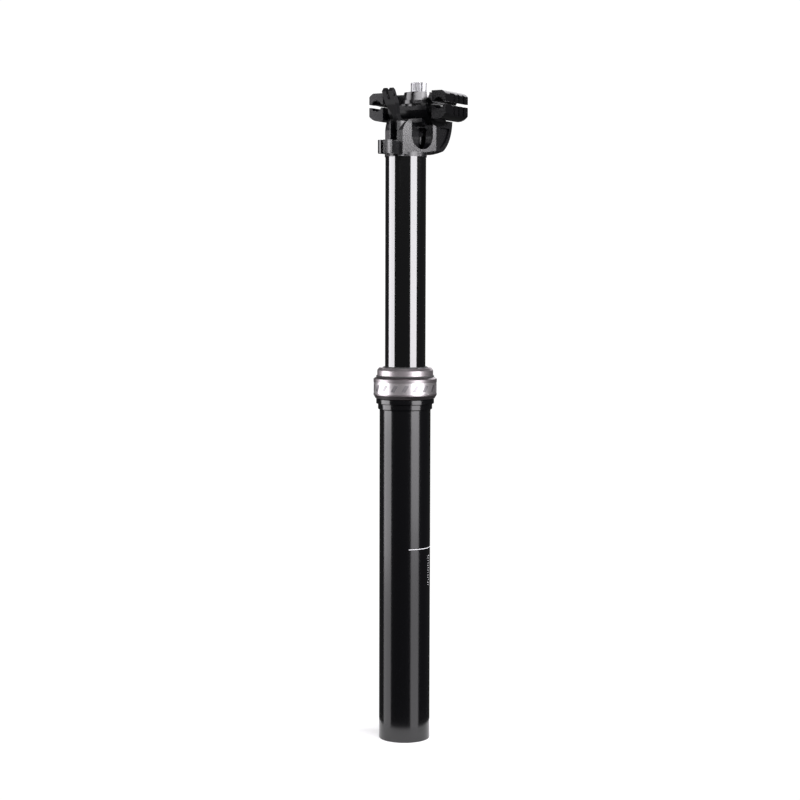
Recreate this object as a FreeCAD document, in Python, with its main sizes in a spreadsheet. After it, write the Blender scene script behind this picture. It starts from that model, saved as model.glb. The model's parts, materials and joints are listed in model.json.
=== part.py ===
import FreeCAD, Part
import os
import re
import Sketcher

# Telescopic seatpost, millimetres. The origin is on the tube axis at the lower end of the seat-tube wall.
# +X points to the rear of the bicycle (the setback side), +Y to its right and +Z up. The post is extended.

SIZES = {
    "tube_radius": 15.8, "tube_bore": 13.4, "tube_top": 206, "step_radius": 16.8, "step_top": 209.5,
    "neck_radius": 17.9, "neck_top": 213, "stanchion_radius": 12.5, "stanchion_bore": 10.6,
    "stanchion_foot": 139, "stanchion_top": 361, "fit": 0.05, "bushing_low": 195,
    "collar_radius": 19.6, "collar_low_radius": 18.3, "collar_top": 226.4, "band_low": 216.2,
    "band_high": 223.2,
    "band_depth": 0.9, "cap_radius": 17.3, "cap_top": 232, "foot_height": 8, "bumper_height": 5.6,
    "rod_radius": 4, "rod_top": 160, "cartridge_radius": 9.6, "cartridge_bore": 8.2, "cartridge_foot": 144,
    "cartridge_top": 349, "key_width": 2.4, "key_reach": 14.1, "key_length": 12,
    "head_half": 13.9, "head_top": 384.4, "belly_centre": 11.5, "belly_height": 385.3, "belly_radius": 22.6,
    "belly_wall": 3, "nose_radius": 6.2, "nose_centre": 9, "cheek_front": 14.5, "cheek_back": 13.3,
    "web_back": 5.6, "base_top": 369.8, "stop_centre": 24, "stop_radius": 4.8, "ferrule_radius": 2.6,
    "ferrule_depth": 5.9, "window_front": 7.1, "window_back": 10.5, "window_low": 365.5,
    "setback": 15.6, "tilt_height": 396, "cradle_radius": 16, "cradle_gap": 0.3, "saddle_wall": 3.4,
    "saddle_half": 10,
    "slot_half": 3.6, "slot_reach": 6.4, "lever_slot": 2.3, "pivot_back": 5, "pivot_height": 379.4,
    "pin_radius": 1.25, "hub_wall": 1.35, "lever_half": 1.6, "fork_half": 3.5, "plunger_radius": 2,
    "plunger_top": 376.8, "spring_floor": 364, "spring_height": 8, "spring_radius": 2.85,
    "rail_height": 393.1, "rail_radius": 3.5, "rail_half": 22, "jaw_half": 27, "jaw_length": 28.6,
    "jaw_gap": 0.95,
    "jaw_radius": 8.5, "bridge_reach": 11, "deck_reach": 9.5, "belly_round": 24.3, "wing_inner": 17.2,
    "clamp_top": 401.4, "cone_radius": 9.8, "cone_top_radius": 8.9, "skirt_depth": 1.4, "flute_radius": 1.15,
    "flute_inset": 0.1, "thread_depth": 1.5, "cap_clearance": 1.7, "nut_clearance": 1.9, "seal_depth": 1.6,
    "seal_low": 4, "seal_high": 6, "piston_land": 2.4, "piston_seal_top": 5, "piston_length": 8,
    "valve_length": 14, "key_rise": 20,
    "bolt_radius": 3, "bolt_hole": 3.3, "bolt_head_radius": 5, "bolt_head": 6.2, "nut_radius": 4.5,
    "nut_low": 369.4, "nut_top": 374.2,
}

doc = FreeCAD.newDocument("seatpost")
sheet = doc.addObject("Spreadsheet::Sheet", "sizes")
for row, (alias, value) in enumerate(SIZES.items(), start=1):
    sheet.set(f"A{row}", alias)
    sheet.set(f"B{row}", str(value))
    sheet.setAlias(f"B{row}", alias)
doc.recompute()
nodes = []


def formula(text):
    """Turn words such as tube_radius into references to the sheet's cells."""
    return re.sub(r"[a-z]+(?:_[a-z]+)*", lambda word: "sizes." + word.group(0), str(text))


def value_of(text):
    return float(sheet.evalExpression(formula(text)))


def bind(feature, **sizes):
    for name, text in sizes.items():
        feature.setExpression(name.replace("__", "."), formula(text))
    return feature


def place(feature, x="0", y="0", z="0", axis="Z"):
    turns = {"Z": (0, 0, 0), "X": (0, 90, 0), "Y": (0, 0, -90)}
    yaw, pitch, roll = turns[axis]
    feature.Placement = FreeCAD.Placement(FreeCAD.Vector(), FreeCAD.Rotation(yaw, pitch, roll))
    return bind(feature, Placement__Base__x=x, Placement__Base__y=y, Placement__Base__z=z)


def node(feature, label):
    """Mark a finished solid as a sub-part: its label names its file."""
    feature.Label = label
    nodes.append(feature)
    return feature


def rod(radius, length, **where):
    """A cylinder that starts at the given point and runs along +axis."""
    return place(bind(doc.addObject("Part::Cylinder", "Rod"), Radius=radius, Height=length), **where)


def taper(low, high, length, **where):
    cone = doc.addObject("Part::Cone", "Taper")
    return place(bind(cone, Radius1=low, Radius2=high, Height=length), **where)


def block(x_low, x_high, half_width, z_low, z_high, y="0"):
    """A box between two X planes and two Z planes, centred on the plane at y."""
    box = doc.addObject("Part::Box", "Block")
    bind(box, Length=f"({x_high}) - ({x_low})", Width=f"2 * ({half_width})", Height=f"({z_high}) - ({z_low})")
    return place(box, x=x_low, y=f"({y}) - ({half_width})", z=z_low)


def join(*shapes):
    fusion = doc.addObject("Part::MultiFuse", "Join")
    fusion.Shapes = list(shapes)
    fusion.Refine = True
    return fusion


def cut(base, *tools):
    result = doc.addObject("Part::Cut", "Cut")
    result.Base = base
    result.Tool = tools[0] if len(tools) == 1 else join(*tools)
    result.Refine = True
    return result


def common(first, second):
    result = doc.addObject("Part::Common", "Common")
    result.Base = first
    result.Tool = second
    return result


def sleeve(label, outer, inner, low, high):
    """A plain ring or tube on the post's axis."""
    wall = rod(outer, f"({high}) - ({low})", z=low)
    bore = rod(inner, f"({high}) - ({low}) + 2", z=f"({low}) - 1")
    return node(cut(wall, bore), label)


def sketch_on(body, role):
    sketch = body.newObject("Sketcher::SketchObject", body.Name + "Profile")
    plane = next(item for item in body.Origin.OriginFeatures if item.Role == role)
    sketch.AttachmentSupport = [(plane, "")]
    sketch.MapMode = "FlatFace"
    return sketch


def draw(sketch, corners):
    """A closed outline of straight lines whose corners (across, up) are all bound to the sheet."""
    points = [FreeCAD.Vector(value_of(a), value_of(b), 0) for a, b in corners]
    for index, point in enumerate(points):
        sketch.addGeometry(Part.LineSegment(point, points[(index + 1) % len(points)]), False)
    for index in range(len(points)):
        following = (index + 1) % len(points)
        sketch.addConstraint(Sketcher.Constraint("Coincident", index, 2, following, 1))
    for index, (across, up) in enumerate(corners):
        for kind, on_axis, text in (("DistanceX", -2, across), ("DistanceY", -1, up)):
            amount = value_of(text)
            if abs(amount) < 1e-9:
                sketch.addConstraint(Sketcher.Constraint("PointOnObject", index, 1, on_axis))
                continue
            number = sketch.addConstraint(Sketcher.Constraint(kind, -1, 1, index, 1, amount))
            sketch.setExpression(f"Constraints[{number}]", formula(text))


def turned(label, corners):
    """A turned piece: an outline of (radius, height) corners revolved about the post's axis."""
    body = doc.addObject("PartDesign::Body", "Body")
    sketch = sketch_on(body, "XZ_Plane")
    draw(sketch, corners)
    turn = body.newObject("PartDesign::Revolution", "Turn")
    turn.Profile = sketch
    turn.ReferenceAxis = (sketch, ["V_Axis"])
    turn.Angle = 360
    body.Tip = turn
    return node(body, label) if label else body


def plate(corners, half_width):
    """A plate cut to an XZ outline, centred on the middle plane."""
    body = doc.addObject("PartDesign::Body", "Body")
    sketch = sketch_on(body, "XZ_Plane")
    draw(sketch, corners)
    pad = body.newObject("PartDesign::Pad", "Pad")
    pad.Profile = sketch
    pad.SideType = "Symmetric"
    bind(pad, Length=f"2 * ({half_width})")
    body.Tip = pad
    return body


def fixed_tube():
    """The seat-tube sleeve, its flared neck and the three grooves that guide the keys."""
    wall = turned(None, [
        ("tube_bore", "0"), ("tube_radius", "0"), ("tube_radius", "tube_top"),
        ("step_radius", "tube_top + 0.6"),
        ("step_radius", "step_top"), ("neck_radius", "step_top + 0.5"), ("neck_radius", "neck_top - 0.5"),
        ("neck_radius - 0.5", "neck_top"), ("neck_radius - thread_depth", "neck_top"),
        ("neck_radius - thread_depth", "neck_top + 8"),
        ("tube_bore", "neck_top + 8"),
    ])
    grooves = []
    for index in range(3):
        groove = block("tube_bore - 1", "key_reach + 0.25", "key_width / 2 + 0.1", "4", "bushing_low - 1")
        angle = 120 * index
        turned_placement = FreeCAD.Placement(FreeCAD.Vector(),
                                             FreeCAD.Rotation(FreeCAD.Vector(0, 0, 1), angle))
        holder = doc.addObject("Part::Compound", "Groove")
        holder.Links = [groove]
        holder.Placement = turned_placement
        grooves.append(holder)
    node(cut(wall, *grooves), "outer_tube")


def collar():
    """The threaded collar, its decorated band, its top cap and the wiper lip."""
    turned("collar_nut", [
        ("neck_radius - thread_depth + fit", "neck_top + fit"), ("collar_low_radius", "neck_top + fit"),
        ("collar_radius", "band_low - 0.9"), ("collar_radius", "band_low"),
        ("collar_radius - band_depth", "band_low"), ("collar_radius - band_depth", "band_high"),
        ("collar_radius", "band_high"), ("collar_radius", "collar_top - 1.2"),
        ("cap_radius + 0.3", "collar_top"), ("stanchion_radius + nut_clearance", "collar_top"),
        ("stanchion_radius + nut_clearance", "neck_top + 8 + fit"),
        ("neck_radius - thread_depth + fit", "neck_top + 8 + fit"),
    ])
    sleeve("collar_band", "collar_radius - 0.15", "collar_radius - band_depth", "band_low", "band_high")
    turned("collar_cap", [
        ("stanchion_radius + cap_clearance", "collar_top"), ("cap_radius", "collar_top"),
        ("cap_radius", "cap_top - 1.6"),
        ("cap_radius - 1.2", "cap_top"), ("stanchion_radius + cap_clearance", "cap_top"),
    ])
    turned("wiper_seal", [
        ("stanchion_radius + 0.3", "collar_top - 3"), ("stanchion_radius + cap_clearance", "collar_top - 3"),
        ("stanchion_radius + cap_clearance", "cap_top - 0.2"), ("stanchion_radius + 0.9", "cap_top + 0.6"),
        ("stanchion_radius + 0.3", "cap_top + 0.6"),
    ])
    sleeve("upper_bushing", "tube_bore", "stanchion_radius + fit", "bushing_low", "neck_top + 7")


def foot():
    """The plug that closes the tube's foot and carries the gas spring's rod."""
    turned("foot_cap", [
        ("rod_radius + 0.5", "1.6"), ("tube_bore", "1.6"), ("tube_bore", "3.6"),
        ("tube_bore - 1.2", "foot_height"),
        ("rod_radius", "foot_height"), ("rod_radius", "5"), ("rod_radius + 0.5", "5"),
    ])
    ring = cut(rod("tube_bore", "1.2", z="0.4"), rod("tube_bore - 2", "3", z="-0.5"))
    gap = block("-tube_bore - 2", "0", "3", "-0.5", "3")
    node(cut(ring, gap), "foot_circlip")
    head = cut(rod("rod_radius + 2.5", "1.6"), rod("2.5", "1.2", z="-0.01"))
    node(join(head, rod("rod_radius - 0.8", "6.4", z="1.6")), "foot_bolt")


def gas_spring():
    """Rod and piston stay with the tube; the cylinder rides up and down inside the stanchion."""
    socket = rod("rod_radius - 0.8", "3", z="5")
    node(cut(rod("rod_radius", "rod_top - 5", z="5"), socket), "piston_rod")
    sleeve("bottom_bumper", "rod_radius + 3.2", "rod_radius", "foot_height",
           "foot_height + bumper_height")
    turned("piston", [
        ("0", "rod_top"), ("cartridge_bore - 0.1", "rod_top"),
        ("cartridge_bore - 0.1", "rod_top + piston_land"),
        ("cartridge_bore - seal_depth", "rod_top + piston_land"),
        ("cartridge_bore - seal_depth", "rod_top + piston_seal_top"),
        ("cartridge_bore - 0.1", "rod_top + piston_seal_top"),
        ("cartridge_bore - 0.1", "rod_top + piston_length"), ("0", "rod_top + piston_length"),
    ])
    sleeve("piston_seal", "cartridge_bore - 0.05", "cartridge_bore - seal_depth",
           "rod_top + piston_land", "rod_top + piston_seal_top")
    sleeve("cartridge_tube", "cartridge_radius", "cartridge_bore", "cartridge_foot", "cartridge_top")
    turned("cartridge_seal_head", [
        ("rod_radius + fit", "cartridge_foot - 3"), ("cartridge_radius", "cartridge_foot - 3"),
        ("cartridge_radius", "cartridge_foot"), ("cartridge_bore", "cartridge_foot"),
        ("cartridge_bore", "cartridge_foot + 10"), ("rod_radius + fit", "cartridge_foot + 10"),
        ("rod_radius + fit", "cartridge_foot + seal_high"), ("rod_radius + seal_depth",
                                                             "cartridge_foot + seal_high"),
        ("rod_radius + seal_depth", "cartridge_foot + seal_low"),
        ("rod_radius + fit", "cartridge_foot + seal_low"),
    ])
    sleeve("rod_seal", "rod_radius + seal_depth", "rod_radius + fit",
           "cartridge_foot + seal_low", "cartridge_foot + seal_high")
    sleeve("top_out_bumper", "cartridge_bore", "rod_radius + 0.5", "cartridge_foot + 10",
           "cartridge_foot + 14")
    turned("cartridge_valve_body", [
        ("1.05", "cartridge_top - valve_length"), ("cartridge_bore", "cartridge_top - valve_length"),
        ("cartridge_bore", "cartridge_top"), ("stanchion_bore", "cartridge_top"),
        ("stanchion_bore", "cartridge_top + 3"), ("1.05", "cartridge_top + 3"),
    ])
    sleeve("cartridge_foot_ring", "stanchion_bore", "rod_radius + 3", "cartridge_foot - 5",
           "cartridge_foot - 3")


def stanchion():
    """The sliding leg with its foot bushing and three brass keys."""
    wall = cut(rod("stanchion_radius", "stanchion_top - stanchion_foot", z="stanchion_foot"),
               rod("stanchion_bore", "stanchion_top - stanchion_foot + 2", z="stanchion_foot - 1"))
    pockets, keys = [], []
    for index in range(3):
        angle = FreeCAD.Rotation(FreeCAD.Vector(0, 0, 1), 120 * index)
        for shapes, inner, reach in ((pockets, "stanchion_radius - 1", "key_reach + 1"),
                                     (keys, "stanchion_radius - 1", "key_reach")):
            holder = doc.addObject("Part::Compound", "Key")
            holder.Links = [block(inner, reach, "key_width / 2", "stanchion_foot + key_rise",
                                  "stanchion_foot + key_rise + key_length")]
            holder.Placement = FreeCAD.Placement(FreeCAD.Vector(), angle)
            shapes.append(holder)
    node(cut(wall, *pockets), "stanchion_tube")
    sleeve("lower_bushing", "tube_bore - fit", "stanchion_radius", "stanchion_foot", "stanchion_foot + 16")
    group = doc.addObject("Part::Compound", "Keys")
    group.Links = keys
    node(group, "anti_rotation_keys")


def drum(radius, half_width, x, z):
    """A cylinder across the post, centred on the middle plane."""
    return rod(radius, f"2 * ({half_width})", x=x, y=f"-({half_width})", z=z, axis="Y")


def head_cheeks():
    """The flared cheeks and round belly, hollow between 3 mm walls, with a U window in each side."""
    front, low, top = "-cheek_front", "stanchion_top", "head_top"
    flare = doc.addObject("PartDesign::Body", "Flare")
    plan = sketch_on(flare, "XY_Plane")
    draw(plan, [(front, "-nose_radius"), ("cheek_back", "-head_half"), ("belly_centre + 30", "-head_half"),
                ("belly_centre + 30", "head_half"), ("cheek_back", "head_half"), (front, "nose_radius")])
    pad = flare.newObject("PartDesign::Pad", "Pad")
    pad.Profile = plan
    bind(pad, Length=top)
    flare.Tip = pad
    side = plate([(front, low), ("belly_centre", low), ("belly_centre", top), (f"{front} + 10", top),
                  (f"{front} + 5", f"{top} - 1.6"), (f"{front} + 1.8", f"{top} - 4.2"),
                  (front, f"{top} - 8")], "head_half + 1")
    belly = common(drum("belly_radius", "head_half + 1", "belly_centre", "belly_height"),
                   block("belly_centre - 1", "belly_centre + 30", "head_half + 2", low, top))
    hollow = common(drum("belly_radius - belly_wall", "8.2", "belly_centre", "belly_height"),
                    block("-7", "belly_centre + 16", "9", f"{low} + 3", f"{top} + 2"))
    round_half = "(window_front + window_back) / 2"
    middle = "(window_back - window_front) / 2"
    window = join(block("-window_front", "window_back", "head_half + 2", f"window_low + {round_half}",
                        f"{top} + 1"),
                  drum(round_half, "head_half + 2", middle, f"window_low + {round_half}"))
    pockets = [common(
        drum("belly_radius - belly_wall", "head_half + 2", "belly_centre", "belly_height"),
        block("cheek_back + 4.5", "belly_centre + 30", "1.6", f"{low} + 6", f"{top} - 4.5",
              y=f"{sign} * (head_half + 0.2)")) for sign in (-1, 1)]
    keel = rod("belly_round", "90", x="-cheek_front - 5", z=f"{low} + belly_round", axis="X")
    return cut(common(common(flare, join(side, belly)), keel), hollow, window, *pockets)


def head_forging():
    """Cheeks, nose, web for the lever, curved saddle wall, cable stop and the spigot in the stanchion."""
    low, top = "stanchion_top", "head_top"
    nose = rod("nose_radius", f"{top} - {low} - 2.4", x="-nose_centre", z=low)
    web = block("-nose_centre", "web_back", "nose_radius - 0.4", low, f"{top} - 2.4")
    web_end = rod("nose_radius - 0.4", f"{top} - {low} - 2.4", x="web_back", z=low)
    flange = rod("stanchion_radius + 0.4", "2.6", z=low)
    lug = rod("stop_radius", f"base_top - {low} - 0.8", x="-stop_centre", z=f"{low} + 0.8")
    arm = block("-stop_centre", "-nose_centre", "stop_radius - 0.7", f"{low} + 0.8", "base_top - 0.2")
    spigot = rod("stanchion_bore", f"{low} - cartridge_top - 3", z="cartridge_top + 3")
    saddle = common(drum("cradle_radius + saddle_wall", "saddle_half", "setback", "tilt_height"),
                    block("2", "belly_centre + 20", "head_half", low, top))
    solid = join(head_cheeks(), nose, web, web_end, flange, lug, arm, spigot, saddle)
    cradle = drum("cradle_radius", "head_half + 1", "setback", "tilt_height")
    bolt_slot = block("setback - slot_reach", "setback + slot_reach", "slot_half", "nut_top - 1",
                      f"{top} + 1")
    nut_room = common(drum("belly_radius - belly_wall", "8.2", "belly_centre", "belly_height"),
                      block("setback - 8.2", "setback + 9.2", "8.2", f"{low} + 3", "nut_top + 4.5"))
    nut_clearance = cut(nut_room, drum("cradle_radius + saddle_wall", "head_half", "setback", "tilt_height"))
    lever_slot = block("-nose_centre - nose_radius - 1", "pivot_back + 3.4", "lever_slot",
                       "spring_floor + 6.5",
                       f"{top} + 1")
    guide = rod("plunger_radius + fit", "60", z="spring_floor - 40")
    spring_room = rod("spring_radius + 0.35", "spring_height + 1.6", z="spring_floor")
    pin_bore = drum("pin_radius", "head_half", "pivot_back", "pivot_height")
    ferrule = rod("ferrule_radius", "ferrule_depth + 1", x="-stop_centre", z=f"{low} - 0.2")
    cable_hole = rod("1.1", "14", x="-stop_centre", z=low)
    cable_slit = block("-stop_centre - stop_radius - 1", "-stop_centre", "0.8", low, "base_top + 1")
    node(cut(solid, cradle, bolt_slot, nut_clearance, lever_slot, guide, spring_room, pin_bore, ferrule,
             cable_hole, cable_slit), "head_forging")
    node(drum("pin_radius", "nose_radius - 0.5", "pivot_back", "pivot_height"), "lever_pin")


# The lever from the side: the foot under the pin, the neck out of the slot, then the forked cable end.
LEVER_OUTLINE = [
    ("pivot_back", "pivot_height - 2.5"), ("pivot_back", "pivot_height + 2.5"),
    ("-6.6", "pivot_height + 2.4"), ("-8.2", "pivot_height + 4.6"), ("-13.6", "tilt_height - 4.4"),
    ("-19", "tilt_height + 4.2"), ("-21", "tilt_height + 5.2"), ("-23", "tilt_height + 3"),
    ("-18.4", "tilt_height - 4.6"), ("-10.6", "pivot_height + 1.4"), ("-9.4", "pivot_height - 2.2")]


def release_train():
    """Lever, plunger, return spring and the valve pin that the plunger presses."""
    hub = drum("pin_radius + hub_wall", "lever_half", "pivot_back", "pivot_height")
    narrowing = doc.addObject("PartDesign::Body", "Narrowing")
    front_view = sketch_on(narrowing, "YZ_Plane")
    draw(front_view, [("-fork_half", "tilt_height + 8"), ("-fork_half", "tilt_height - 3.5"),
                      ("-lever_half", "pivot_height + 7"), ("-lever_half", "pivot_height - 5"),
                      ("lever_half", "pivot_height - 5"), ("lever_half", "pivot_height + 7"),
                      ("fork_half", "tilt_height - 3.5"), ("fork_half", "tilt_height + 8")])
    through = narrowing.newObject("PartDesign::Pad", "Pad")
    through.Profile = front_view
    through.SideType = "Symmetric"
    bind(through, Length="80")
    narrowing.Tip = through
    arm = common(plate(LEVER_OUTLINE, "fork_half"), narrowing)
    notch = block("-26", "-12", "0.8", "tilt_height - 1.6", "tilt_height + 9")
    bore = drum("pin_radius + 0.03", "10", "pivot_back", "pivot_height")
    barrel_seat = drum("1.15", "10", "-20.2", "tilt_height + 1")
    relief = block("-8.4", "pivot_back - pin_radius - hub_wall", "5", "pivot_height - 5",
                   "plunger_top + 0.15")
    node(cut(join(hub, arm), notch, bore, barrel_seat, relief), "lever")
    stem = rod("plunger_radius", "plunger_top - cartridge_top - 6.2", z="cartridge_top + 6.2")
    shoulder = "spring_floor + 0.6 + spring_height"
    node(join(stem, rod("spring_radius + 0.1", "1", z=shoulder)), "plunger")
    coil = cut(rod("spring_radius", "spring_height", z="spring_floor + 0.6"),
               rod("plunger_radius + 0.15", "spring_height + 2", z="spring_floor"))
    node(coil, "plunger_spring")
    sleeve("spring_seat", "spring_radius + 0.25", "plunger_radius + 0.15", "spring_floor",
           "spring_floor + 0.6")
    pin = rod("1", "19.5", z="cartridge_top - valve_length")
    node(join(pin, rod("1.7", "1", z="cartridge_top + 5.2")), "valve_pin")


def jaw_side(low, high, sign, centre):
    """One side's jaw, round on the outside about the height centre, cut off between two heights."""
    start = "setback - jaw_length / 2"
    middle = f"{sign} * (jaw_half + wing_inner) / 2"
    bar = block(start, "setback + jaw_length / 2", "(jaw_half - wing_inner) / 2", low, high, y=middle)
    barrel = rod("jaw_radius", "jaw_length", x=start, y=f"{sign} * (rail_half - 1.6)", z=centre,
                 axis="X")
    return common(bar, barrel)


def rail_cuts():
    """The grooves of both rails and the shallow notches along the outer lips."""
    start = "setback - jaw_length / 2"
    tools = []
    for sign in (-1, 1):
        tools.append(rod("rail_radius", "jaw_length + 4", x=f"{start} - 2", y=f"{sign} * rail_half",
                         z="rail_height", axis="X"))
        for centre in ("2.2", "8.4"):
            tools.append(block(f"setback + {centre} - 1.1", f"setback + {centre} + 1.1", "0.8",
                               "rail_height - 11", "rail_height + 11", y=f"{sign} * jaw_half"))
        tools.append(block("setback - 8.5", "setback - 2.5", "0.7", "rail_height - 11", "rail_height + 11",
                           y=f"{sign} * jaw_half"))
    return tools


HALF_RIGHT = 0.5 ** 0.5
EIGHT_WAYS = [(1, 0), (HALF_RIGHT, HALF_RIGHT), (0, 1), (-HALF_RIGHT, HALF_RIGHT),
              (-1, 0), (-HALF_RIGHT, -HALF_RIGHT), (0, -1), (HALF_RIGHT, -HALF_RIGHT)]


def clamp():
    """Two-piece saddle clamp on a curved cradle, drawn together by one vertical screw."""
    start, finish = "setback - jaw_length / 2", "setback + jaw_length / 2"
    low_face, high_face = "rail_height - jaw_gap", "rail_height + jaw_gap"
    shank_hole = rod("bolt_hole", "60", x="setback", z="nut_low")
    foot_drum = common(drum("cradle_radius - cradle_gap", "head_half - 0.4", "setback", "tilt_height"),
                       block(start, finish, "head_half - 0.4", "nut_top", low_face))
    deck = block("setback - deck_reach", "setback + deck_reach", "wing_inner + 1", "rail_height - 4.6",
                 low_face)
    jaws = [jaw_side("rail_height - 10", low_face, sign, "rail_height - 0.9") for sign in (-1, 1)]
    node(cut(join(foot_drum, deck, *jaws), shank_hole, *rail_cuts()), "lower_clamp")

    cone = taper("cone_radius", "cone_top_radius", f"clamp_top - ({high_face})", x="setback", z=high_face)
    disc = rod("cone_radius + 0.8", "2.2", x="setback", z=high_face)
    bridge = block("setback - 1", "setback + bridge_reach", "wing_inner + 2", high_face, "clamp_top - 0.8")
    skirt = rod("cone_radius - 1.6", "2", x="setback", z=f"{high_face} - skirt_depth")
    tops = [jaw_side(high_face, "clamp_top - 0.5", sign, "rail_height + 0.2") for sign in (-1, 1)]
    upper_hole = rod("bolt_hole", "30", x="setback", z="rail_height - 4")
    counterbore = rod("bolt_head_radius + 0.9", "2", x="setback", z="clamp_top - 0.9")
    node(cut(join(cone, disc, skirt, bridge, *tops), upper_hole, counterbore, *rail_cuts()), "upper_clamp")

    washer_low, seat = "clamp_top - 0.9", "clamp_top - 0.1"
    washer = cut(rod("bolt_head_radius + 0.7", "0.8", x="setback", z=washer_low),
                 rod("bolt_hole", "4", x="setback", z=f"{washer_low} - 1"))
    node(washer, "bolt_washer")
    socket = bind(doc.addObject("Part::Prism", "Socket"), Circumradius="2.9", Height="4")
    socket.Polygon = 6
    place(socket, x="setback", z=f"{seat} + bolt_head - 3")
    head = rod("bolt_head_radius", "bolt_head", x="setback", z=seat)
    shank = rod("bolt_radius", f"{seat} - nut_low - 1", x="setback", z="nut_low + 1")
    flutes = [rod("flute_radius", "bolt_head + 1", z=seat,
                  x=f"setback + (bolt_head_radius + flute_inset) * {across}",
                  y=f"(bolt_head_radius + flute_inset) * {along}") for across, along in EIGHT_WAYS]
    node(cut(join(head, shank), socket, *flutes), "clamp_bolt")

    under = "cradle_radius + saddle_wall + cradle_gap"
    saddle = cut(block("setback - 4.7", "setback + 4.7", "5.4", "nut_top", "nut_top + 3"),
                 drum(under, "8", "setback", "tilt_height"), rod("bolt_hole", "20", x="setback",
                                                                 z="nut_low - 2"))
    node(saddle, "saddle_washer")
    nut = cut(rod("nut_radius", "nut_top - nut_low", x="setback", z="nut_low"),
              rod("bolt_radius", "20", x="setback", z="nut_low - 2"))
    node(nut, "clamp_nut")


fixed_tube()
collar()
foot()
gas_spring()
stanchion()
head_forging()
release_train()
clamp()
doc.recompute()

for item in doc.Objects:
    if "Invalid" in item.State or "Error" in item.State:
        raise RuntimeError(f"{item.Name} ({item.Label}) did not compute: {item.State}")
os.makedirs("parts", exist_ok=True)
for item in nodes:
    shape = item.Shape
    if shape.isNull() or not shape.isValid():
        raise RuntimeError(f"{item.Label} has no valid shape")
    print(item.Label, len(shape.Solids), round(shape.Volume, 1))
    shape.exportStep(f"parts/{item.Label}.step")
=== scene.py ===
import json
import math
import bmesh
import bpy
from mathutils import Matrix, Vector


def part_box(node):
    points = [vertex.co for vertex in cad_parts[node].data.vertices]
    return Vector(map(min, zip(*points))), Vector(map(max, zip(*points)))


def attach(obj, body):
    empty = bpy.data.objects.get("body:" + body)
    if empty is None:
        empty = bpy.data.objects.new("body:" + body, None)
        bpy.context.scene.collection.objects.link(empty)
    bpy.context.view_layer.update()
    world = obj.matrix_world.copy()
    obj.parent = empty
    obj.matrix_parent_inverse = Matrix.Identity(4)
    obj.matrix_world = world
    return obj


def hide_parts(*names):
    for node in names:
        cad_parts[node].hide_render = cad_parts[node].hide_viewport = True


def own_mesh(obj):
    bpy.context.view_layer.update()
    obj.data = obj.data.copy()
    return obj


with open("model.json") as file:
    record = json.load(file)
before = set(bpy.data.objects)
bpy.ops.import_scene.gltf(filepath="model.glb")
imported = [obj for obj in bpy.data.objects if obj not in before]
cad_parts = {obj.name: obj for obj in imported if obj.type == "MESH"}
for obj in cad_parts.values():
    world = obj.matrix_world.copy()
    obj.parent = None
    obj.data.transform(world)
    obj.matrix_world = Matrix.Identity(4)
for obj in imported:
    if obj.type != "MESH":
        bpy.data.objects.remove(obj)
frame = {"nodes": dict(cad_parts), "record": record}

MM = 0.001
FULL_TURN = 2 * math.pi
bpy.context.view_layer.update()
nodes = frame["nodes"]
record = frame["record"]

# ---------------------------------------------------------------- camera
AZIMUTH = math.radians(-60)          # the camera stands to the front left of the post
CAMERA_DISTANCE = 1.065
CAMERA_HEIGHT = 0.290
CAMERA_PITCH = math.radians(-4.2)
CAMERA_YAW = math.radians(0.17)      # the post stands a little right of the middle
CAMERA_ROLL = math.radians(0.15)
LENS_MM = 77.6
SENSOR_MM = 36
TOWARDS_CAMERA = Vector((math.sin(AZIMUTH), -math.cos(AZIMUTH), 0))
TO_THE_RIGHT = Vector((math.cos(AZIMUTH), math.sin(AZIMUTH), 0))


def around(angle_deg, radius, height):
    """A point at an angle around the post from the camera's side, positive to the camera's right."""
    angle = math.radians(angle_deg)
    point = (TOWARDS_CAMERA * math.cos(angle) + TO_THE_RIGHT * math.sin(angle)) * radius
    return Vector((point.x, point.y, height))


def add_camera():
    data = bpy.data.cameras.new("camera")
    data.lens = LENS_MM
    data.sensor_width = SENSOR_MM
    camera = bpy.data.objects.new("camera", data)
    bpy.context.scene.collection.objects.link(camera)
    camera.location = TOWARDS_CAMERA * CAMERA_DISTANCE + Vector((0, 0, CAMERA_HEIGHT))
    camera.rotation_euler = (
        Matrix.Rotation(AZIMUTH + CAMERA_YAW, 3, "Z")
        @ Matrix.Rotation(math.radians(90) + CAMERA_PITCH, 3, "X")
        @ Matrix.Rotation(CAMERA_ROLL, 3, "Z")
    ).to_euler()
    bpy.context.scene.camera = camera


def set_colours():
    """The Standard view, so that the white paper is white and the anodising black."""
    bpy.context.scene.view_settings.view_transform = "Standard"


# ---------------------------------------------------------------- studio
LAMP_COLOUR = (0.985, 0.965, 1.0)
STACK_PANELS = (                     # each panel's lower and upper edge and its share of the brightness
    (0.12, 1.25, 1.0),
    (-0.10, 0.12, 0.46),
    (-0.85, -0.10, 0.22),
)
BACKGROUND_SEEN = 1.05               # the white that the camera sees behind the post
BACKGROUND_FILL = 0.05               # the dim light that the same background gives the post
FLOOR_RADIUS = 50 * MM
FLOOR_GREY = 0.5
FLOOR_GLOW = 0.4


def add_softbox(name, angle_deg, distance, height, width, tall, power, aim_height=0.2):
    """A rectangular lamp that faces the post's axis at aim_height, with its power in watts."""
    data = bpy.data.lights.new(name, "AREA")
    data.shape = "RECTANGLE"
    data.size, data.size_y, data.energy = width, tall, power
    data.color = LAMP_COLOUR
    light = bpy.data.objects.new(name, data)
    bpy.context.scene.collection.objects.link(light)
    light.location = around(angle_deg, distance, height)
    aim = Vector((0, 0, aim_height)) - light.location
    light.rotation_euler = aim.to_track_quat("-Z", "Y").to_euler()


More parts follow.
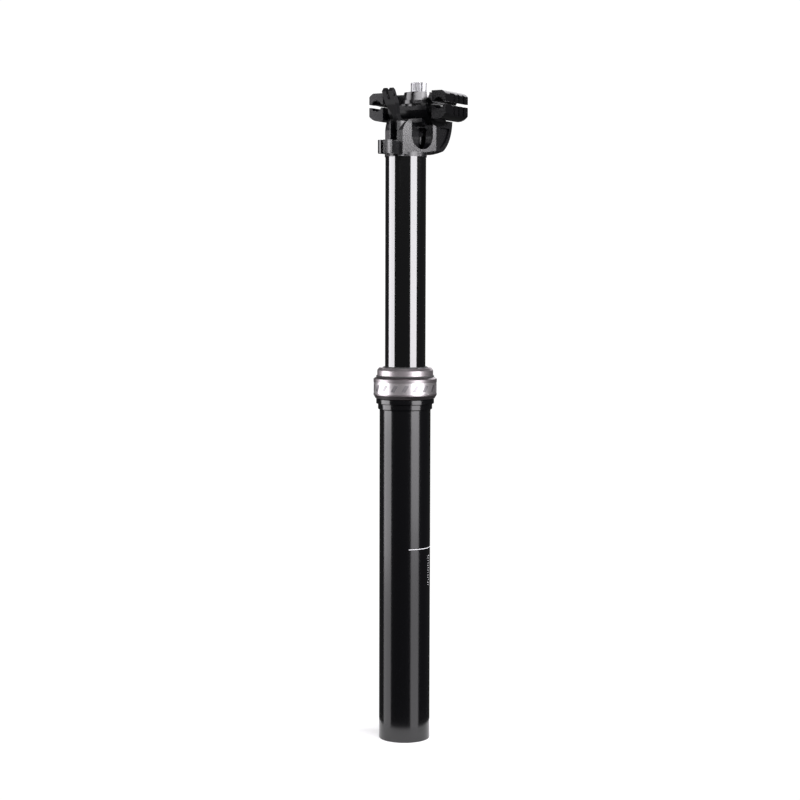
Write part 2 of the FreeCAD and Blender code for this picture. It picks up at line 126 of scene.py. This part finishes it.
def add_softbox_stack(name, angle_deg, distance, width, brightness):
    """A tall softbox in panels that grow dimmer downwards, its brightness in watts per square metre."""
    for panel, (low, high, share) in enumerate(STACK_PANELS):
        middle, tall = (low + high) / 2, high - low
        add_softbox(f"{name}_{panel}", angle_deg, distance, middle, width, tall,
                    brightness * share * width * tall, aim_height=middle)


def add_lamps():
    add_softbox_stack("softbox_left", angle_deg=-86, distance=1.2, width=0.95, brightness=20)
    add_softbox_stack("softbox_right", angle_deg=47, distance=1.5, width=1.05, brightness=21.5)
    add_softbox("softbox_head_side", angle_deg=84, distance=1.0, height=0.66,
                width=0.4, tall=0.26, power=11, aim_height=0.375)
    add_softbox("softbox_head_front", angle_deg=8, distance=1.25, height=0.78,
                width=2.6, tall=0.22, power=30, aim_height=0.38)
    add_softbox("softbox_top", angle_deg=10, distance=1.3, height=1.6, width=0.9, tall=0.5, power=12)
    add_softbox("softbox_back", angle_deg=170, distance=1.6, height=0.9, width=1.2, tall=0.8, power=6)


def add_background():
    """White where the camera sees it, and only a dim fill on everything else."""
    world = bpy.data.worlds.new("studio")
    bpy.context.scene.world = world
    world.use_nodes = True
    tree = world.node_tree
    tree.nodes.clear()
    path = tree.nodes.new("ShaderNodeLightPath")
    mix = tree.nodes.new("ShaderNodeMixShader")
    out = tree.nodes.new("ShaderNodeOutputWorld")
    tree.links.new(path.outputs["Is Camera Ray"], mix.inputs[0])
    for socket, strength in ((1, BACKGROUND_FILL), (2, BACKGROUND_SEEN)):
        white = tree.nodes.new("ShaderNodeBackground")
        white.inputs["Color"].default_value = (1, 1, 1, 1)
        white.inputs["Strength"].default_value = strength
        tree.links.new(white.outputs[0], mix.inputs[socket])
    tree.links.new(mix.outputs[0], out.inputs[0])


def add_floor():
    """A small disc of white paper under the post, with nothing beyond it to mirror in the sleeve."""
    bm = bmesh.new()
    bmesh.ops.create_circle(bm, cap_ends=True, radius=FLOOR_RADIUS, segments=96)
    floor = new_object("floor", bm)
    material = bpy.data.materials.new("floor_paper")
    material.use_nodes = True
    shader = material.node_tree.nodes["Principled BSDF"]
    shader.inputs["Base Color"].default_value = (FLOOR_GREY, FLOOR_GREY, FLOOR_GREY, 1)
    shader.inputs["Roughness"].default_value = 0.9
    shader.inputs["Specular IOR Level"].default_value = 0.1
    shader.inputs["Emission Color"].default_value = (1, 1, 1, 1)
    shader.inputs["Emission Strength"].default_value = FLOOR_GLOW
    floor.data.materials.append(material)


# ---------------------------------------------------------------- materials
MOTTLING = 0.12                      # how far the tone strays to either side over a surface
MOTTLING_SCALE = 38
SMOOTHEST = 0.02
RELIEF_DEPTH = 0.1 * MM
PLAIN = (1, 1, 1)
TURNED = (1, 1, 14)                  # fine rings around the axis
DRAWN = (6, 6, 0.5)                  # fine lines along the axis

LOOKS = {
    "gloss_black": dict(colour=(0.0008, 0.0008, 0.0012), roughness=0.15, spread=0.02, grain=1500,
                        bump=0.012, stretch=DRAWN, ior=1.64),
    "stanchion_black": dict(colour=(0.0006, 0.0006, 0.0008), roughness=0.09, spread=0.015, grain=1800,
                            bump=0.004, stretch=TURNED, ior=2.05),
    "collar_silver": dict(colour=(0.30, 0.275, 0.285), metallic=1, roughness=0.33, grain=700,
                          bump=0.05, stretch=TURNED, anisotropy=0.4),
    "band_silver": dict(colour=(0.66, 0.63, 0.64), metallic=1, roughness=0.3, grain=700,
                        bump=0.05, stretch=TURNED, anisotropy=0.4),
    "cap_silver": dict(colour=(0.38, 0.35, 0.36), metallic=1, roughness=0.34, grain=800,
                       bump=0.05, stretch=TURNED, anisotropy=0.4),
    "rubber_black": dict(colour=(0.012, 0.012, 0.012), roughness=0.7, grain=600, bump=0.12),
    "bushing_polymer": dict(colour=(0.25, 0.22, 0.15), roughness=0.5, grain=500, bump=0.05),
    "key_brass": dict(colour=(0.75, 0.56, 0.25), metallic=1, stretch=DRAWN),
    "inner_aluminium": dict(colour=(0.68, 0.68, 0.70), metallic=1, roughness=0.32, stretch=TURNED),
    "bolt_steel": dict(colour=(0.17, 0.17, 0.175), metallic=1, bump=0.05, stretch=TURNED),
    "spring_steel": dict(colour=(0.35, 0.35, 0.37), metallic=1),
    "rod_chrome": dict(colour=(0.75, 0.75, 0.78), metallic=1, roughness=0.07, spread=0.02, bump=0.01),
    "forged_black": dict(colour=(0.0015, 0.0015, 0.002), roughness=0.27, spread=0.015, grain=1100,
                         bump=0.005, ior=1.6),
    "clamp_black": dict(colour=(0.001, 0.001, 0.0013), roughness=0.2, spread=0.015, grain=1100,
                        bump=0.015),
    "lever_grey": dict(colour=(0.006, 0.006, 0.0065), spread=0.02, grain=1000, bump=0.02),
    "print_white": dict(colour=(0.45, 0.45, 0.46), roughness=0.5, grain=1500, bump=0.02),
    "mark_dark": dict(colour=(0.24, 0.23, 0.24), metallic=1, roughness=0.38, bump=0.04),
}


def add_noise(tree, vector, scale, detail):
    noise = tree.nodes.new("ShaderNodeTexNoise")
    noise.inputs["Scale"].default_value = scale
    noise.inputs["Detail"].default_value = detail
    tree.links.new(vector, noise.inputs["Vector"])
    return noise.outputs["Fac"]


def finish(name, colour, metallic=0.0, roughness=0.3, spread=0.06, grain=900, bump=0.03, stretch=PLAIN,
           ior=1.5, anisotropy=0.0):
    """A finish with fine grain in its bump and roughness and a slight change of tone over the surface."""
    material = bpy.data.materials.new(name)
    material.use_nodes = True
    tree = material.node_tree
    link = tree.links.new
    shader = tree.nodes["Principled BSDF"]
    shader.inputs["Metallic"].default_value = metallic
    shader.inputs["IOR"].default_value = ior
    shader.inputs["Anisotropic"].default_value = anisotropy
    place = tree.nodes.new("ShaderNodeTexCoord").outputs["Object"]
    stretched = tree.nodes.new("ShaderNodeMapping")
    stretched.inputs["Scale"].default_value = stretch
    link(place, stretched.inputs["Vector"])
    fine = add_noise(tree, stretched.outputs[0], grain, detail=4)
    broad = add_noise(tree, place, MOTTLING_SCALE, detail=3)

    rough = tree.nodes.new("ShaderNodeMapRange")
    rough.inputs["To Min"].default_value = max(SMOOTHEST, roughness - spread)
    rough.inputs["To Max"].default_value = roughness + spread
    link(fine, rough.inputs["Value"])
    link(rough.outputs[0], shader.inputs["Roughness"])

    tone = tree.nodes.new("ShaderNodeMix")
    tone.data_type = "RGBA"
    tone.inputs["A"].default_value = (*[part * (1 - MOTTLING) for part in colour], 1)
    tone.inputs["B"].default_value = (*[part * (1 + MOTTLING) for part in colour], 1)
    link(broad, tone.inputs["Factor"])
    link(tone.outputs["Result"], shader.inputs["Base Color"])

    relief = tree.nodes.new("ShaderNodeBump")
    relief.inputs["Strength"].default_value = bump
    relief.inputs["Distance"].default_value = RELIEF_DEPTH
    link(fine, relief.inputs["Height"])
    link(relief.outputs[0], shader.inputs["Normal"])
    return material


FINISHES = {name: finish(name, **look) for name, look in LOOKS.items()}

# ---------------------------------------------------------------- the CAD nodes
SLOT_OF = {row["node"]: row["material_slot"] for row in record["subparts"]}
SLOT_OF["clamp_nut"] = "clamp_black"          # the nut is seen black, whatever its own slot
EDGE_MM = {"head_forging": 0.55, "lower_clamp": 0.6, "upper_clamp": 0.6, "lever": 0.45, "clamp_bolt": 0.5,
           "outer_tube": 0.25, "collar_nut": 0.25, "collar_cap": 0.3, "bolt_washer": 0.15}
SHARP_DEG = 38                                # edges that turn by more than this are rounded


def dress_cad_nodes():
    """Every CAD node takes its finish, and the machined ones a small rounded edge."""
    for name, piece in nodes.items():
        look = FINISHES[SLOT_OF[name]]
        if not piece.material_slots:
            piece.data.materials.append(look)
        for entry in piece.material_slots:
            entry.material = look
        if name in EDGE_MM:
            bevel = piece.modifiers.new("soft_edge", "BEVEL")
            bevel.width = EDGE_MM[name] * MM
            bevel.segments = 3
            bevel.limit_method = "ANGLE"
            bevel.angle_limit = math.radians(SHARP_DEG)
            bevel.harden_normals = True


# ---------------------------------------------------------------- small added pieces
def new_object(name, bm, smooth=False):
    mesh = bpy.data.meshes.new(name)
    bmesh.ops.recalc_face_normals(bm, faces=bm.faces)
    bm.to_mesh(mesh)
    bm.free()
    for polygon in mesh.polygons:
        polygon.use_smooth = smooth
    piece = bpy.data.objects.new(name, mesh)
    bpy.context.scene.collection.objects.link(piece)
    return piece


def curved_patch(bm, outline, radius, thickness, steps):
    """A raised mark wrapped on a cylinder: outline(t) gives (angle, low z, high z) for t from 0 to 1."""
    rows = []
    for step in range(steps + 1):
        angle, low, high = outline(step / steps)
        outer = radius + thickness
        corners = ((radius, low), (radius, high), (outer, high), (outer, low))
        rows.append([bm.verts.new(around(angle, reach, height)) for reach, height in corners])
    for first, second in zip(rows, rows[1:]):
        for side in range(4):
            after = (side + 1) % 4
            bm.faces.new((first[side], first[after], second[after], second[side]))
    bm.faces.new(rows[0])
    bm.faces.new(list(reversed(rows[-1])))


def mark_piece(name, marks, radius, thickness, material, body, steps=10):
    """One piece from several curved patches, which rides the body."""
    bm = bmesh.new()
    for mark in marks:
        curved_patch(bm, mark, radius, thickness, steps)
    piece = new_object(name, bm)
    piece.data.materials.append(FINISHES[material])
    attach(piece, body)


BAR_COUNT = 18
BAR_WIDTH_DEG = 6.5
BAR_LEAN_DEG = 7.0                   # how far a bar leans to the right as it rises
BAR_MARGIN = 1.3 * MM                # plain band left above and below the bars
BAR_RISE = 0.8                       # share of the bars' height by which a bar's middle climbs
BAR_TIP = 0.02                       # share of the height left at a bar's two tips
BAR_SUNK = 0.02 * MM
BAR_THICKNESS = 0.08 * MM


def add_band_pattern():
    """Slanted bars around the collar's band, a plain decoration."""
    low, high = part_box("collar_band")
    bottom, top = low[2] + BAR_MARGIN, high[2] - BAR_MARGIN
    whole = BAR_WIDTH_DEG + BAR_LEAN_DEG

    def bar(centre):
        def outline(t):
            share = min(1.0, whole / BAR_LEAN_DEG * min(t, 1 - t) + BAR_TIP)
            middle = bottom + (top - bottom) * ((1 - BAR_RISE) / 2 + BAR_RISE * t)
            half = (top - bottom) * 0.5 * share
            return centre + (t - 0.5) * whole, max(bottom, middle - half), min(top, middle + half)
        return outline

    mark_piece("collar_band_bars", [bar(360 / BAR_COUNT * index) for index in range(BAR_COUNT)],
               high[0] - BAR_SUNK, BAR_THICKNESS,
               "mark_dark", "fixed_leg")


LINE_HEIGHT = 120.4 * MM
LINE_WIDTH = 0.45 * MM
LINE_START_DEG = 9
LINE_SPAN_DEG = 87
TICK_COUNT = 13
TICKS_TO_A_LONG_ONE = 5
TICK_WIDTH = 0.3 * MM
TICK_START_DEG = 64
LONG_TICK_DEG = 9
SHORT_TICK_DEG = 5
FIRST_TICK_MM = 5                    # below the line
TICK_PITCH_MM = 1.5
PRINT_SUNK = 0.005 * MM
PRINT_THICKNESS = 0.03 * MM


def add_tube_marks():
    """The insertion limit line, and a short ruler of ticks below it."""
    mounts = {mount["name"]: mount for mount in record["mounts"]}
    sleeve_radius = mounts["seat_tube"]["dims"]["r_mm"] * MM

    def line(t):
        return LINE_START_DEG + LINE_SPAN_DEG * t, LINE_HEIGHT, LINE_HEIGHT + LINE_WIDTH

    def tick(index):
        length = SHORT_TICK_DEG if index % TICKS_TO_A_LONG_ONE else LONG_TICK_DEG
        height = LINE_HEIGHT - (FIRST_TICK_MM + TICK_PITCH_MM * index) * MM

        def outline(t):
            return TICK_START_DEG + length * t, height, height + TICK_WIDTH
        return outline

    mark_piece("insertion_marks", [line] + [tick(index) for index in range(TICK_COUNT)],
               sleeve_radius - PRINT_SUNK, PRINT_THICKNESS,
               "print_white", "fixed_leg", steps=28)


SPRING_TURNS = 7
SPRING_STEPS = 20                    # points to a turn
SPRING_WIRE = 0.28 * MM              # the wire's radius


def add_spring():
    """The plunger's return spring as a real coil, in place of its plain sleeve."""
    low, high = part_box("plunger_spring")
    mean = (high[0] - low[0]) / 2 - SPRING_WIRE
    climb = high[2] - low[2] - 2 * SPRING_WIRE
    curve = bpy.data.curves.new("return_coil", "CURVE")
    curve.dimensions = "3D"
    curve.bevel_depth = SPRING_WIRE
    curve.bevel_resolution = 3
    curve.use_fill_caps = True
    spline = curve.splines.new("POLY")
    steps = SPRING_TURNS * SPRING_STEPS
    spline.points.add(steps)
    for index, point in enumerate(spline.points):
        angle = index / SPRING_STEPS * FULL_TURN
        height = low[2] + SPRING_WIRE + climb * index / steps
        point.co = (mean * math.cos(angle), mean * math.sin(angle), height, 1)
    pattern = bpy.data.objects.new("coil_curve", curve)
    mesh = bpy.data.meshes.new_from_object(pattern)
    bpy.data.objects.remove(pattern)
    piece = bpy.data.objects.new("return_coil", mesh)
    bpy.context.scene.collection.objects.link(piece)
    mesh.materials.append(FINISHES["spring_steel"])
    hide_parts("plunger_spring")
    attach(piece, "sliding_leg")
    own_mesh(piece)


# A black ring that paints the shade in the groove between the collar and its cap.
SHADE_RING_WIRE = 0.5 * MM               # the ring's own radius
SHADE_RING_REACH = 0.2 * MM              # how far its middle lies outside the cap
SHADE_RING_LIFT = 0.35 * MM              # how far its middle lies above the cap's foot
SHADE_RING_STEPS = 96
SHADE_RING_SIDES = 10


def add_groove_shade_ring():
    """A black ring in the groove between the collar and its cap: painted shade for the groove's dark
    line.
    """
    cap_low, cap_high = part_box("collar_cap")
    radius = cap_high[0] + SHADE_RING_REACH
    middle = cap_low[2] + SHADE_RING_LIFT
    section = []
    for side in range(SHADE_RING_SIDES):
        angle = FULL_TURN * side / SHADE_RING_SIDES
        section.append(Vector((radius + SHADE_RING_WIRE * math.cos(angle), 0,
                               middle + SHADE_RING_WIRE * math.sin(angle))))
    bm = bmesh.new()
    rings = []
    for step in range(SHADE_RING_STEPS):
        turn = Matrix.Rotation(FULL_TURN * step / SHADE_RING_STEPS, 3, "Z")
        rings.append([bm.verts.new(turn @ point) for point in section])
    for first, second in zip(rings, rings[1:] + rings[:1]):
        for side in range(SHADE_RING_SIDES):
            after = (side + 1) % SHADE_RING_SIDES
            bm.faces.new((first[side], second[side], second[after], first[after]))
    piece = new_object("cap_groove_shade_ring", bm, smooth=True)
    # the black rubber finish here is painted shade for the groove, not a seal
    piece.data.materials.append(FINISHES["rubber_black"])
    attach(piece, "fixed_leg")


set_colours()
add_camera()
add_lamps()
add_background()
add_floor()
dress_cad_nodes()
add_band_pattern()
add_tube_marks()
add_spring()
add_groove_shade_ring()
